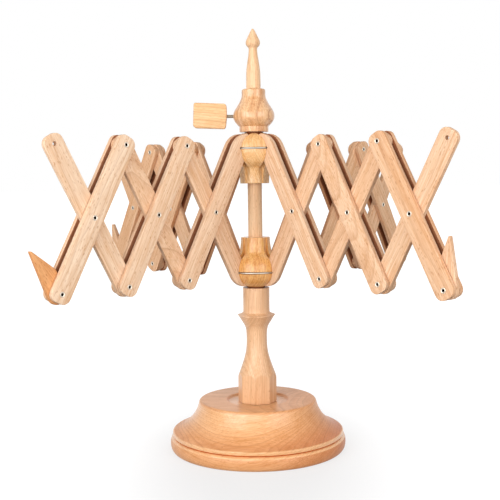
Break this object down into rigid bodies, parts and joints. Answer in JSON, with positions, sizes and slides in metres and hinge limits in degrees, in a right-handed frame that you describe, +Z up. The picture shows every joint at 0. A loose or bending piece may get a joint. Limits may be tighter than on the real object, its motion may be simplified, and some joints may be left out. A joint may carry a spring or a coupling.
{
  "type": "yarn swift",
  "caption": "Tabletop yarn swift: lazy-tong slat arms on a turning spindle open and close like an umbrella to hold a skein of yarn while it is wound.",
  "frame": {"origin": "centre of the base's flat underside", "axes": "+Z up along the spindle; -Y towards the front, with the lock knob on the -X side and the arms on the diagonals"},
  "size_m": [0.4515, 0.4519, 0.53],
  "materials": {
    "slat_beech": "satin, pale beech boards with long grain",
    "turned_beech": "satin, pale turned beech",
    "honey_wood": "varnished, honey-coloured turned wood",
    "steel": "bright plated steel"
  },
  "bodies": {
    "stand": {"base": "turned_beech", "column": "turned_beech"},
    "spindle": {"spindle": "turned_beech", "lower_hub": "honey_wood", "lower_ring": "steel"},
    "front_left_rise_1": {"front_left_rise_slat_1": "slat_beech"},
    "front_left_fall_1": {"front_left_fall_slat_1_left": "slat_beech", "front_left_fall_slat_1_right": "slat_beech"},
    "front_left_rise_2": {"front_left_rise_slat_2": "slat_beech"},
    "front_left_fall_2": {"front_left_fall_slat_2_left": "slat_beech", "front_left_fall_slat_2_right": "slat_beech"},
    "front_left_rise_3": {"front_left_rise_slat_3": "slat_beech"},
    "front_left_fall_3": {"front_left_fall_slat_3_left": "slat_beech", "front_left_fall_slat_3_right": "slat_beech", "front_left_tip_rivet": "steel"},
    "front_left_peg": {"front_left_peg": "slat_beech"},
    "front_right_rise_1": {"front_right_rise_slat_1": "slat_beech"},
    "front_right_fall_1": {"front_right_fall_slat_1_left": "slat_beech", "front_right_fall_slat_1_right": "slat_beech"},
    "front_right_rise_2": {"front_right_rise_slat_2": "slat_beech"},
    "front_right_fall_2": {"front_right_fall_slat_2_left": "slat_beech", "front_right_fall_slat_2_right": "slat_beech"},
    "front_right_rise_3": {"front_right_rise_slat_3": "slat_beech"},
    "front_right_fall_3": {"front_right_fall_slat_3_left": "slat_beech", "front_right_fall_slat_3_right": "slat_beech", "front_right_tip_rivet": "steel"},
    "front_right_peg": {"front_right_peg": "slat_beech"},
    "back_right_rise_1": {"back_right_rise_slat_1": "slat_beech"},
    "back_right_fall_1": {"back_right_fall_slat_1_left": "slat_beech", "back_right_fall_slat_1_right": "slat_beech"},
    "back_right_rise_2": {"back_right_rise_slat_2": "slat_beech"},
    "back_right_fall_2": {"back_right_fall_slat_2_left": "slat_beech", "back_right_fall_slat_2_right": "slat_beech"},
    "back_right_rise_3": {"back_right_rise_slat_3": "slat_beech"},
    "back_right_fall_3": {"back_right_fall_slat_3_left": "slat_beech", "back_right_fall_slat_3_right": "slat_beech", "back_right_tip_rivet": "steel"},
    "back_right_peg": {"back_right_peg": "slat_beech"},
    "back_left_rise_1": {"back_left_rise_slat_1": "slat_beech"},
    "back_left_fall_1": {"back_left_fall_slat_1_left": "slat_beech", "back_left_fall_slat_1_right": "slat_beech"},
    "back_left_rise_2": {"back_left_rise_slat_2": "slat_beech"},
    "back_left_fall_2": {"back_left_fall_slat_2_left": "slat_beech", "back_left_fall_slat_2_right": "slat_beech"},
    "back_left_rise_3": {"back_left_rise_slat_3": "slat_beech"},
    "back_left_fall_3": {"back_left_fall_slat_3_left": "slat_beech", "back_left_fall_slat_3_right": "slat_beech", "back_left_tip_rivet": "steel"},
    "back_left_peg": {"back_left_peg": "slat_beech"},
    "upper_hub": {"upper_hub": "honey_wood", "upper_ring": "steel"},
    "lock_cap": {"lock_cap": "honey_wood"},
    "lock_screw": {"lock_screw": "steel", "lock_knob": "turned_beech"}
  },
  "joints": [
    {"name": "spindle_spin", "type": "hinge", "parent": "stand", "child": "spindle", "pos_m": [0, 0, 0.2054], "axis": [0, 0, 1], "continuous": true},
    {"name": "front_left_fold_1", "type": "hinge", "parent": "spindle", "child": "front_left_rise_1", "pos_m": [-0.02199, -0.02199, 0.2262], "axis": [0.7071, -0.7071, 0], "range_deg": [-19.5, 29.5]},
    {"name": "front_left_cross_1", "type": "hinge", "parent": "front_left_rise_1", "child": "front_left_fall_1", "pos_m": [-0.05204, -0.05204, 0.30349], "axis": [0.7071, -0.7071, 0], "range_deg": [-59.5, 39.5]},
    {"name": "front_left_fold_2", "type": "hinge", "parent": "front_left_fall_1", "child": "front_left_rise_2", "pos_m": [-0.0827, -0.0827, 0.22462], "axis": [0.7071, -0.7071, 0], "range_deg": [-39.5, 59.5]},
    {"name": "front_left_cross_2", "type": "hinge", "parent": "front_left_rise_2", "child": "front_left_fall_2", "pos_m": [-0.11335, -0.11335, 0.30349], "axis": [0.7071, -0.7071, 0], "range_deg": [-59.5, 39.5]},
    {"name": "front_left_fold_3", "type": "hinge", "parent": "front_left_fall_2", "child": "front_left_rise_3", "pos_m": [-0.14401, -0.14401, 0.22462], "axis": [0.7071, -0.7071, 0], "range_deg": [-39.5, 59.5]},
    {"name": "front_left_cross_3", "type": "hinge", "parent": "front_left_rise_3", "child": "front_left_fall_3", "pos_m": [-0.17467, -0.17467, 0.30349], "axis": [0.7071, -0.7071, 0], "range_deg": [-59.5, 39.5]},
    {"name": "front_left_peg_turn", "type": "hinge", "parent": "front_left_fall_3", "child": "front_left_peg", "pos_m": [-0.20533, -0.20533, 0.22462], "axis": [0.7071, -0.7071, 0], "range_deg": [-54, 111]},
    {"name": "front_right_fold_1", "type": "hinge", "parent": "spindle", "child": "front_right_rise_1", "pos_m": [0.02199, -0.02199, 0.2262], "axis": [0.7071, 0.7071, 0], "range_deg": [-20, 30]},
    {"name": "front_right_cross_1", "type": "hinge", "parent": "front_right_rise_1", "child": "front_right_fall_1", "pos_m": [0.05204, -0.05204, 0.30349], "axis": [0.7071, 0.7071, 0], "range_deg": [-59.5, 39.5]},
    {"name": "front_right_fold_2", "type": "hinge", "parent": "front_right_fall_1", "child": "front_right_rise_2", "pos_m": [0.0827, -0.0827, 0.22462], "axis": [0.7071, 0.7071, 0], "range_deg": [-39.5, 59.5]},
    {"name": "front_right_cross_2", "type": "hinge", "parent": "front_right_rise_2", "child": "front_right_fall_2", "pos_m": [0.11335, -0.11335, 0.30349], "axis": [0.7071, 0.7071, 0], "range_deg": [-59.5, 39.5]},
    {"name": "front_right_fold_3", "type": "hinge", "parent": "front_right_fall_2", "child": "front_right_rise_3", "pos_m": [0.14401, -0.14401, 0.22462], "axis": [0.7071, 0.7071, 0], "range_deg": [-39.5, 59.5]},
    {"name": "front_right_cross_3", "type": "hinge", "parent": "front_right_rise_3", "child": "front_right_fall_3", "pos_m": [0.17467, -0.17467, 0.30349], "axis": [0.7071, 0.7071, 0], "range_deg": [-59.5, 39.5]},
    {"name": "front_right_peg_turn", "type": "hinge", "parent": "front_right_fall_3", "child": "front_right_peg", "pos_m": [0.20533, -0.20533, 0.22462], "axis": [0.7071, 0.7071, 0], "range_deg": [-22.3, 142.7]},
    {"name": "back_right_fold_1", "type": "hinge", "parent": "spindle", "child": "back_right_rise_1", "pos_m": [0.02199, 0.02199, 0.2262], "axis": [-0.7071, 0.7071, 0], "range_deg": [-20, 30]},
    {"name": "back_right_cross_1", "type": "hinge", "parent": "back_right_rise_1", "child": "back_right_fall_1", "pos_m": [0.05204, 0.05204, 0.30349], "axis": [-0.7071, 0.7071, 0], "range_deg": [-59.5, 39.5]},
    {"name": "back_right_fold_2", "type": "hinge", "parent": "back_right_fall_1", "child": "back_right_rise_2", "pos_m": [0.0827, 0.0827, 0.22462], "axis": [-0.7071, 0.7071, 0], "range_deg": [-39.5, 59.5]},
    {"name": "back_right_cross_2", "type": "hinge", "parent": "back_right_rise_2", "child": "back_right_fall_2", "pos_m": [0.11335, 0.11335, 0.30349], "axis": [-0.7071, 0.7071, 0], "range_deg": [-59.5, 39.5]},
    {"name": "back_right_fold_3", "type": "hinge", "parent": "back_right_fall_2", "child": "back_right_rise_3", "pos_m": [0.14401, 0.14401, 0.22462], "axis": [-0.7071, 0.7071, 0], "range_deg": [-39.5, 59.5]},
    {"name": "back_right_cross_3", "type": "hinge", "parent": "back_right_rise_3", "child": "back_right_fall_3", "pos_m": [0.17467, 0.17467, 0.30349], "axis": [-0.7071, 0.7071, 0], "range_deg": [-59.5, 39.5]},
    {"name": "back_right_peg_turn", "type": "hinge", "parent": "back_right_fall_3", "child": "back_right_peg", "pos_m": [0.20533, 0.20533, 0.22462], "axis": [-0.7071, 0.7071, 0], "range_deg": [-40, 125]},
    {"name": "back_left_fold_1", "type": "hinge", "parent": "spindle", "child": "back_left_rise_1", "pos_m": [-0.02199, 0.02199, 0.2262], "axis": [-0.7071, -0.7071, 0], "range_deg": [-20, 30]},
    {"name": "back_left_cross_1", "type": "hinge", "parent": "back_left_rise_1", "child": "back_left_fall_1", "pos_m": [-0.05204, 0.05204, 0.30349], "axis": [-0.7071, -0.7071, 0], "range_deg": [-59.5, 39.5]},
    {"name": "back_left_fold_2", "type": "hinge", "parent": "back_left_fall_1", "child": "back_left_rise_2", "pos_m": [-0.0827, 0.0827, 0.22462], "axis": [-0.7071, -0.7071, 0], "range_deg": [-39.5, 59.5]},
    {"name": "back_left_cross_2", "type": "hinge", "parent": "back_left_rise_2", "child": "back_left_fall_2", "pos_m": [-0.11335, 0.11335, 0.30349], "axis": [-0.7071, -0.7071, 0], "range_deg": [-59.5, 39.5]},
    {"name": "back_left_fold_3", "type": "hinge", "parent": "back_left_fall_2", "child": "back_left_rise_3", "pos_m": [-0.14401, 0.14401, 0.22462], "axis": [-0.7071, -0.7071, 0], "range_deg": [-39.5, 59.5]},
    {"name": "back_left_cross_3", "type": "hinge", "parent": "back_left_rise_3", "child": "back_left_fall_3", "pos_m": [-0.17467, 0.17467, 0.30349], "axis": [-0.7071, -0.7071, 0], "range_deg": [-59.5, 39.5]},
    {"name": "back_left_peg_turn", "type": "hinge", "parent": "back_left_fall_3", "child": "back_left_peg", "pos_m": [-0.20533, 0.20533, 0.22462], "axis": [-0.7071, -0.7071, 0], "range_deg": [-40.6, 124.4]},
    {"name": "upper_hub_level", "type": "hinge", "parent": "front_left_fall_1", "child": "upper_hub", "pos_m": [-0.02199, -0.02199, 0.38078], "axis": [0.7071, -0.7071, 0], "range_deg": [-20, 30]},
    {"name": "lock_cap_slide", "type": "slide", "parent": "upper_hub", "child": "lock_cap", "axis": [0, 0, 1], "range_m": [0, 0.05]},
    {"name": "lock_screw_turn", "type": "hinge", "parent": "lock_cap", "child": "lock_screw", "pos_m": [-0.0259, 0, 0.42158], "axis": [1, 0, 0], "range_deg": [-180, 180]}
  ],
  "couplings": [
    {"joint": "front_left_cross_1", "follows": "front_left_fold_1", "ratio": -2},
    {"joint": "front_left_fold_2", "follows": "front_left_fold_1", "ratio": 2},
    {"joint": "front_left_cross_2", "follows": "front_left_fold_1", "ratio": -2},
    {"joint": "front_left_fold_3", "follows": "front_left_fold_1", "ratio": 2},
    {"joint": "front_left_cross_3", "follows": "front_left_fold_1", "ratio": -2},
    {"joint": "front_right_fold_1", "follows": "front_left_fold_1", "ratio": 1},
    {"joint": "front_right_cross_1", "follows": "front_left_fold_1", "ratio": -2},
    {"joint": "front_right_fold_2", "follows": "front_left_fold_1", "ratio": 2},
    {"joint": "front_right_cross_2", "follows": "front_left_fold_1", "ratio": -2},
    {"joint": "front_right_fold_3", "follows": "front_left_fold_1", "ratio": 2},
    {"joint": "front_right_cross_3", "follows": "front_left_fold_1", "ratio": -2},
    {"joint": "back_right_fold_1", "follows": "front_left_fold_1", "ratio": 1},
    {"joint": "back_right_cross_1", "follows": "front_left_fold_1", "ratio": -2},
    {"joint": "back_right_fold_2", "follows": "front_left_fold_1", "ratio": 2},
    {"joint": "back_right_cross_2", "follows": "front_left_fold_1", "ratio": -2},
    {"joint": "back_right_fold_3", "follows": "front_left_fold_1", "ratio": 2},
    {"joint": "back_right_cross_3", "follows": "front_left_fold_1", "ratio": -2},
    {"joint": "back_left_fold_1", "follows": "front_left_fold_1", "ratio": 1},
    {"joint": "back_left_cross_1", "follows": "front_left_fold_1", "ratio": -2},
    {"joint": "back_left_fold_2", "follows": "front_left_fold_1", "ratio": 2},
    {"joint": "back_left_cross_2", "follows": "front_left_fold_1", "ratio": -2},
    {"joint": "back_left_fold_3", "follows": "front_left_fold_1", "ratio": 2},
    {"joint": "back_left_cross_3", "follows": "front_left_fold_1", "ratio": -2},
    {"joint": "upper_hub_level", "follows": "front_left_fold_1", "ratio": 1}
  ]
}
